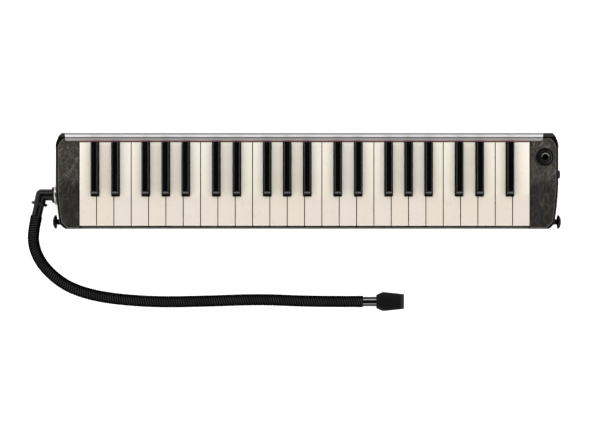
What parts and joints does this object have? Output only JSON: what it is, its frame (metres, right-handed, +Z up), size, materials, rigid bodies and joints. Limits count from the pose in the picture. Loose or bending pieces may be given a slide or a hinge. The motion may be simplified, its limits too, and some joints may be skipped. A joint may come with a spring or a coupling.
{
  "type": "melodica",
  "caption": "Wind keyboard: white and black key levers between dark end blocks, a bright rear rail, a reed chamber, and a corrugated hose with a mouthpiece on a swivel elbow.",
  "frame": {"origin": "middle of the base, on the surface it rests on", "axes": "+X along the keyboard to the high notes, +Y to the rear rail, +Z up"},
  "size_m": [0.6056, 0.2021, 0.0463],
  "materials": {
    "white_key": "ivory moulded plastic, satin gloss",
    "black_key": "polished black plastic",
    "case": "dark grey-brown moulded plastic",
    "end_block": "polished black plastic",
    "end_panel": "marbled grey-brown leatherette",
    "rail": "drawn and anodised aluminium extrusion",
    "felt": "dark red felt",
    "chamber": "black moulded plastic",
    "steel": "bright steel",
    "brass": "rolled brass",
    "fitting": "black plastic",
    "jack": "black nickelled jack with a bright bushing",
    "elbow": "polished black plastic",
    "hose": "black corrugated flexible plastic",
    "mouthpiece": "satin black plastic"
  },
  "bodies": {
    "case": {"lower_case": "case", "end_blocks": "end_block", "end_panels": "end_panel", "rear_rail": "rail", "felt_strips": "felt", "reed_chamber": "chamber", "pivot_rod": "steel", "reed_plates": "brass", "springs": "steel", "case_screws": "steel", "strap_pins": "fitting", "output_jack": "jack"},
    "key_c1": {"white_key_c1": "white_key"},
    "key_cs1": {"black_key_cs1": "black_key"},
    "key_d1": {"white_key_d1": "white_key"},
    "key_ds1": {"black_key_ds1": "black_key"},
    "key_e1": {"white_key_e1": "white_key"},
    "key_f1": {"white_key_f1": "white_key"},
    "key_fs1": {"black_key_fs1": "black_key"},
    "key_g1": {"white_key_g1": "white_key"},
    "key_gs1": {"black_key_gs1": "black_key"},
    "key_a1": {"white_key_a1": "white_key"},
    "key_as1": {"black_key_as1": "black_key"},
    "key_b1": {"white_key_b1": "white_key"},
    "key_c2": {"white_key_c2": "white_key"},
    "key_cs2": {"black_key_cs2": "black_key"},
    "key_d2": {"white_key_d2": "white_key"},
    "key_ds2": {"black_key_ds2": "black_key"},
    "key_e2": {"white_key_e2": "white_key"},
    "key_f2": {"white_key_f2": "white_key"},
    "key_fs2": {"black_key_fs2": "black_key"},
    "key_g2": {"white_key_g2": "white_key"},
    "key_gs2": {"black_key_gs2": "black_key"},
    "key_a2": {"white_key_a2": "white_key"},
    "key_as2": {"black_key_as2": "black_key"},
    "key_b2": {"white_key_b2": "white_key"},
    "key_c3": {"white_key_c3": "white_key"},
    "key_cs3": {"black_key_cs3": "black_key"},
    "key_d3": {"white_key_d3": "white_key"},
    "key_ds3": {"black_key_ds3": "black_key"},
    "key_e3": {"white_key_e3": "white_key"},
    "key_f3": {"white_key_f3": "white_key"},
    "key_fs3": {"black_key_fs3": "black_key"},
    "key_g3": {"white_key_g3": "white_key"},
    "key_gs3": {"black_key_gs3": "black_key"},
    "key_a3": {"white_key_a3": "white_key"},
    "key_as3": {"black_key_as3": "black_key"},
    "key_b3": {"white_key_b3": "white_key"},
    "key_c4": {"white_key_c4": "white_key"},
    "key_cs4": {"black_key_cs4": "black_key"},
    "key_d4": {"white_key_d4": "white_key"},
    "key_ds4": {"black_key_ds4": "black_key"},
    "key_e4": {"white_key_e4": "white_key"},
    "key_f4": {"white_key_f4": "white_key"},
    "key_fs4": {"black_key_fs4": "black_key"},
    "key_g4": {"white_key_g4": "white_key"},
    "drain": {"drain_button": "fitting"},
    "elbow": {"elbow": "elbow", "hose": "hose"},
    "mouth": {"mouthpiece": "mouthpiece"}
  },
  "joints": [
    {"name": "press_c1", "type": "hinge", "parent": "case", "child": "key_c1", "pos_m": [0, 0.02, 0.0265], "axis": [1, 0, 0], "range_deg": [0, 4], "stiffness_Nm_per_rad": 0.1, "springref_deg": -11.46, "deforming": ["springs"]},
    {"name": "press_cs1", "type": "hinge", "parent": "case", "child": "key_cs1", "pos_m": [0, 0.02, 0.0265], "axis": [1, 0, 0], "range_deg": [0, 4], "stiffness_Nm_per_rad": 0.1, "springref_deg": -11.46, "deforming": ["springs"]},
    {"name": "press_d1", "type": "hinge", "parent": "case", "child": "key_d1", "pos_m": [0, 0.02, 0.0265], "axis": [1, 0, 0], "range_deg": [0, 4], "stiffness_Nm_per_rad": 0.1, "springref_deg": -11.46, "deforming": ["springs"]},
    {"name": "press_ds1", "type": "hinge", "parent": "case", "child": "key_ds1", "pos_m": [0, 0.02, 0.0265], "axis": [1, 0, 0], "range_deg": [0, 4], "stiffness_Nm_per_rad": 0.1, "springref_deg": -11.46, "deforming": ["springs"]},
    {"name": "press_e1", "type": "hinge", "parent": "case", "child": "key_e1", "pos_m": [0, 0.02, 0.0265], "axis": [1, 0, 0], "range_deg": [0, 4], "stiffness_Nm_per_rad": 0.1, "springref_deg": -11.46, "deforming": ["springs"]},
    {"name": "press_f1", "type": "hinge", "parent": "case", "child": "key_f1", "pos_m": [0, 0.02, 0.0265], "axis": [1, 0, 0], "range_deg": [0, 4], "stiffness_Nm_per_rad": 0.1, "springref_deg": -11.46, "deforming": ["springs"]},
    {"name": "press_fs1", "type": "hinge", "parent": "case", "child": "key_fs1", "pos_m": [0, 0.02, 0.0265], "axis": [1, 0, 0], "range_deg": [0, 4], "stiffness_Nm_per_rad": 0.1, "springref_deg": -11.46, "deforming": ["springs"]},
    {"name": "press_g1", "type": "hinge", "parent": "case", "child": "key_g1", "pos_m": [0, 0.02, 0.0265], "axis": [1, 0, 0], "range_deg": [0, 4], "stiffness_Nm_per_rad": 0.1, "springref_deg": -11.46, "deforming": ["springs"]},
    {"name": "press_gs1", "type": "hinge", "parent": "case", "child": "key_gs1", "pos_m": [0, 0.02, 0.0265], "axis": [1, 0, 0], "range_deg": [0, 4], "stiffness_Nm_per_rad": 0.1, "springref_deg": -11.46, "deforming": ["springs"]},
    {"name": "press_a1", "type": "hinge", "parent": "case", "child": "key_a1", "pos_m": [0, 0.02, 0.0265], "axis": [1, 0, 0], "range_deg": [0, 4], "stiffness_Nm_per_rad": 0.1, "springref_deg": -11.46, "deforming": ["springs"]},
    {"name": "press_as1", "type": "hinge", "parent": "case", "child": "key_as1", "pos_m": [0, 0.02, 0.0265], "axis": [1, 0, 0], "range_deg": [0, 4], "stiffness_Nm_per_rad": 0.1, "springref_deg": -11.46, "deforming": ["springs"]},
    {"name": "press_b1", "type": "hinge", "parent": "case", "child": "key_b1", "pos_m": [0, 0.02, 0.0265], "axis": [1, 0, 0], "range_deg": [0, 4], "stiffness_Nm_per_rad": 0.1, "springref_deg": -11.46, "deforming": ["springs"]},
    {"name": "press_c2", "type": "hinge", "parent": "case", "child": "key_c2", "pos_m": [0, 0.02, 0.0265], "axis": [1, 0, 0], "range_deg": [0, 4], "stiffness_Nm_per_rad": 0.1, "springref_deg": -11.46, "deforming": ["springs"]},
    {"name": "press_cs2", "type": "hinge", "parent": "case", "child": "key_cs2", "pos_m": [0, 0.02, 0.0265], "axis": [1, 0, 0], "range_deg": [0, 4], "stiffness_Nm_per_rad": 0.1, "springref_deg": -11.46, "deforming": ["springs"]},
    {"name": "press_d2", "type": "hinge", "parent": "case", "child": "key_d2", "pos_m": [0, 0.02, 0.0265], "axis": [1, 0, 0], "range_deg": [0, 4], "stiffness_Nm_per_rad": 0.1, "springref_deg": -11.46, "deforming": ["springs"]},
    {"name": "press_ds2", "type": "hinge", "parent": "case", "child": "key_ds2", "pos_m": [0, 0.02, 0.0265], "axis": [1, 0, 0], "range_deg": [0, 4], "stiffness_Nm_per_rad": 0.1, "springref_deg": -11.46, "deforming": ["springs"]},
    {"name": "press_e2", "type": "hinge", "parent": "case", "child": "key_e2", "pos_m": [0, 0.02, 0.0265], "axis": [1, 0, 0], "range_deg": [0, 4], "stiffness_Nm_per_rad": 0.1, "springref_deg": -11.46, "deforming": ["springs"]},
    {"name": "press_f2", "type": "hinge", "parent": "case", "child": "key_f2", "pos_m": [0, 0.02, 0.0265], "axis": [1, 0, 0], "range_deg": [0, 4], "stiffness_Nm_per_rad": 0.1, "springref_deg": -11.46, "deforming": ["springs"]},
    {"name": "press_fs2", "type": "hinge", "parent": "case", "child": "key_fs2", "pos_m": [0, 0.02, 0.0265], "axis": [1, 0, 0], "range_deg": [0, 4], "stiffness_Nm_per_rad": 0.1, "springref_deg": -11.46, "deforming": ["springs"]},
    {"name": "press_g2", "type": "hinge", "parent": "case", "child": "key_g2", "pos_m": [0, 0.02, 0.0265], "axis": [1, 0, 0], "range_deg": [0, 4], "stiffness_Nm_per_rad": 0.1, "springref_deg": -11.46, "deforming": ["springs"]},
    {"name": "press_gs2", "type": "hinge", "parent": "case", "child": "key_gs2", "pos_m": [0, 0.02, 0.0265], "axis": [1, 0, 0], "range_deg": [0, 4], "stiffness_Nm_per_rad": 0.1, "springref_deg": -11.46, "deforming": ["springs"]},
    {"name": "press_a2", "type": "hinge", "parent": "case", "child": "key_a2", "pos_m": [0, 0.02, 0.0265], "axis": [1, 0, 0], "range_deg": [0, 4], "stiffness_Nm_per_rad": 0.1, "springref_deg": -11.46, "deforming": ["springs"]},
    {"name": "press_as2", "type": "hinge", "parent": "case", "child": "key_as2", "pos_m": [0, 0.02, 0.0265], "axis": [1, 0, 0], "range_deg": [0, 4], "stiffness_Nm_per_rad": 0.1, "springref_deg": -11.46, "deforming": ["springs"]},
    {"name": "press_b2", "type": "hinge", "parent": "case", "child": "key_b2", "pos_m": [0, 0.02, 0.0265], "axis": [1, 0, 0], "range_deg": [0, 4], "stiffness_Nm_per_rad": 0.1, "springref_deg": -11.46, "deforming": ["springs"]},
    {"name": "press_c3", "type": "hinge", "parent": "case", "child": "key_c3", "pos_m": [0, 0.02, 0.0265], "axis": [1, 0, 0], "range_deg": [0, 4], "stiffness_Nm_per_rad": 0.1, "springref_deg": -11.46, "deforming": ["springs"]},
    {"name": "press_cs3", "type": "hinge", "parent": "case", "child": "key_cs3", "pos_m": [0, 0.02, 0.0265], "axis": [1, 0, 0], "range_deg": [0, 4], "stiffness_Nm_per_rad": 0.1, "springref_deg": -11.46, "deforming": ["springs"]},
    {"name": "press_d3", "type": "hinge", "parent": "case", "child": "key_d3", "pos_m": [0, 0.02, 0.0265], "axis": [1, 0, 0], "range_deg": [0, 4], "stiffness_Nm_per_rad": 0.1, "springref_deg": -11.46, "deforming": ["springs"]},
    {"name": "press_ds3", "type": "hinge", "parent": "case", "child": "key_ds3", "pos_m": [0, 0.02, 0.0265], "axis": [1, 0, 0], "range_deg": [0, 4], "stiffness_Nm_per_rad": 0.1, "springref_deg": -11.46, "deforming": ["springs"]},
    {"name": "press_e3", "type": "hinge", "parent": "case", "child": "key_e3", "pos_m": [0, 0.02, 0.0265], "axis": [1, 0, 0], "range_deg": [0, 4], "stiffness_Nm_per_rad": 0.1, "springref_deg": -11.46, "deforming": ["springs"]},
    {"name": "press_f3", "type": "hinge", "parent": "case", "child": "key_f3", "pos_m": [0, 0.02, 0.0265], "axis": [1, 0, 0], "range_deg": [0, 4], "stiffness_Nm_per_rad": 0.1, "springref_deg": -11.46, "deforming": ["springs"]},
    {"name": "press_fs3", "type": "hinge", "parent": "case", "child": "key_fs3", "pos_m": [0, 0.02, 0.0265], "axis": [1, 0, 0], "range_deg": [0, 4], "stiffness_Nm_per_rad": 0.1, "springref_deg": -11.46, "deforming": ["springs"]},
    {"name": "press_g3", "type": "hinge", "parent": "case", "child": "key_g3", "pos_m": [0, 0.02, 0.0265], "axis": [1, 0, 0], "range_deg": [0, 4], "stiffness_Nm_per_rad": 0.1, "springref_deg": -11.46, "deforming": ["springs"]},
    {"name": "press_gs3", "type": "hinge", "parent": "case", "child": "key_gs3", "pos_m": [0, 0.02, 0.0265], "axis": [1, 0, 0], "range_deg": [0, 4], "stiffness_Nm_per_rad": 0.1, "springref_deg": -11.46, "deforming": ["springs"]},
    {"name": "press_a3", "type": "hinge", "parent": "case", "child": "key_a3", "pos_m": [0, 0.02, 0.0265], "axis": [1, 0, 0], "range_deg": [0, 4], "stiffness_Nm_per_rad": 0.1, "springref_deg": -11.46, "deforming": ["springs"]},
    {"name": "press_as3", "type": "hinge", "parent": "case", "child": "key_as3", "pos_m": [0, 0.02, 0.0265], "axis": [1, 0, 0], "range_deg": [0, 4], "stiffness_Nm_per_rad": 0.1, "springref_deg": -11.46, "deforming": ["springs"]},
    {"name": "press_b3", "type": "hinge", "parent": "case", "child": "key_b3", "pos_m": [0, 0.02, 0.0265], "axis": [1, 0, 0], "range_deg": [0, 4], "stiffness_Nm_per_rad": 0.1, "springref_deg": -11.46, "deforming": ["springs"]},
    {"name": "press_c4", "type": "hinge", "parent": "case", "child": "key_c4", "pos_m": [0, 0.02, 0.0265], "axis": [1, 0, 0], "range_deg": [0, 4], "stiffness_Nm_per_rad": 0.1, "springref_deg": -11.46, "deforming": ["springs"]},
    {"name": "press_cs4", "type": "hinge", "parent": "case", "child": "key_cs4", "pos_m": [0, 0.02, 0.0265], "axis": [1, 0, 0], "range_deg": [0, 4], "stiffness_Nm_per_rad": 0.1, "springref_deg": -11.46, "deforming": ["springs"]},
    {"name": "press_d4", "type": "hinge", "parent": "case", "child": "key_d4", "pos_m": [0, 0.02, 0.0265], "axis": [1, 0, 0], "range_deg": [0, 4], "stiffness_Nm_per_rad": 0.1, "springref_deg": -11.46, "deforming": ["springs"]},
    {"name": "press_ds4", "type": "hinge", "parent": "case", "child": "key_ds4", "pos_m": [0, 0.02, 0.0265], "axis": [1, 0, 0], "range_deg": [0, 4], "stiffness_Nm_per_rad": 0.1, "springref_deg": -11.46, "deforming": ["springs"]},
    {"name": "press_e4", "type": "hinge", "parent": "case", "child": "key_e4", "pos_m": [0, 0.02, 0.0265], "axis": [1, 0, 0], "range_deg": [0, 4], "stiffness_Nm_per_rad": 0.1, "springref_deg": -11.46, "deforming": ["springs"]},
    {"name": "press_f4", "type": "hinge", "parent": "case", "child": "key_f4", "pos_m": [0, 0.02, 0.0265], "axis": [1, 0, 0], "range_deg": [0, 4], "stiffness_Nm_per_rad": 0.1, "springref_deg": -11.46, "deforming": ["springs"]},
    {"name": "press_fs4", "type": "hinge", "parent": "case", "child": "key_fs4", "pos_m": [0, 0.02, 0.0265], "axis": [1, 0, 0], "range_deg": [0, 4], "stiffness_Nm_per_rad": 0.1, "springref_deg": -11.46, "deforming": ["springs"]},
    {"name": "press_g4", "type": "hinge", "parent": "case", "child": "key_g4", "pos_m": [0, 0.02, 0.0265], "axis": [1, 0, 0], "range_deg": [0, 4], "stiffness_Nm_per_rad": 0.1, "springref_deg": -11.46, "deforming": ["springs"]},
    {"name": "drain_press", "type": "slide", "parent": "case", "child": "drain", "axis": [-1, 0, 0], "range_m": [0, 0.0025], "stiffness_N_per_m": 400, "springref_m": -0.003, "deforming": ["springs"]},
    {"name": "elbow_swivel", "type": "hinge", "parent": "case", "child": "elbow", "pos_m": [-0.285, -0.0154, 0.018], "axis": [-1, 0, 0], "range_deg": [0, 90]},
    {"name": "mouthpiece_turn", "type": "hinge", "parent": "elbow", "child": "mouth", "pos_m": [0.064, -0.137, 0.0068], "axis": [1, 0, 0], "range_deg": [-90, 90]}
  ]
}
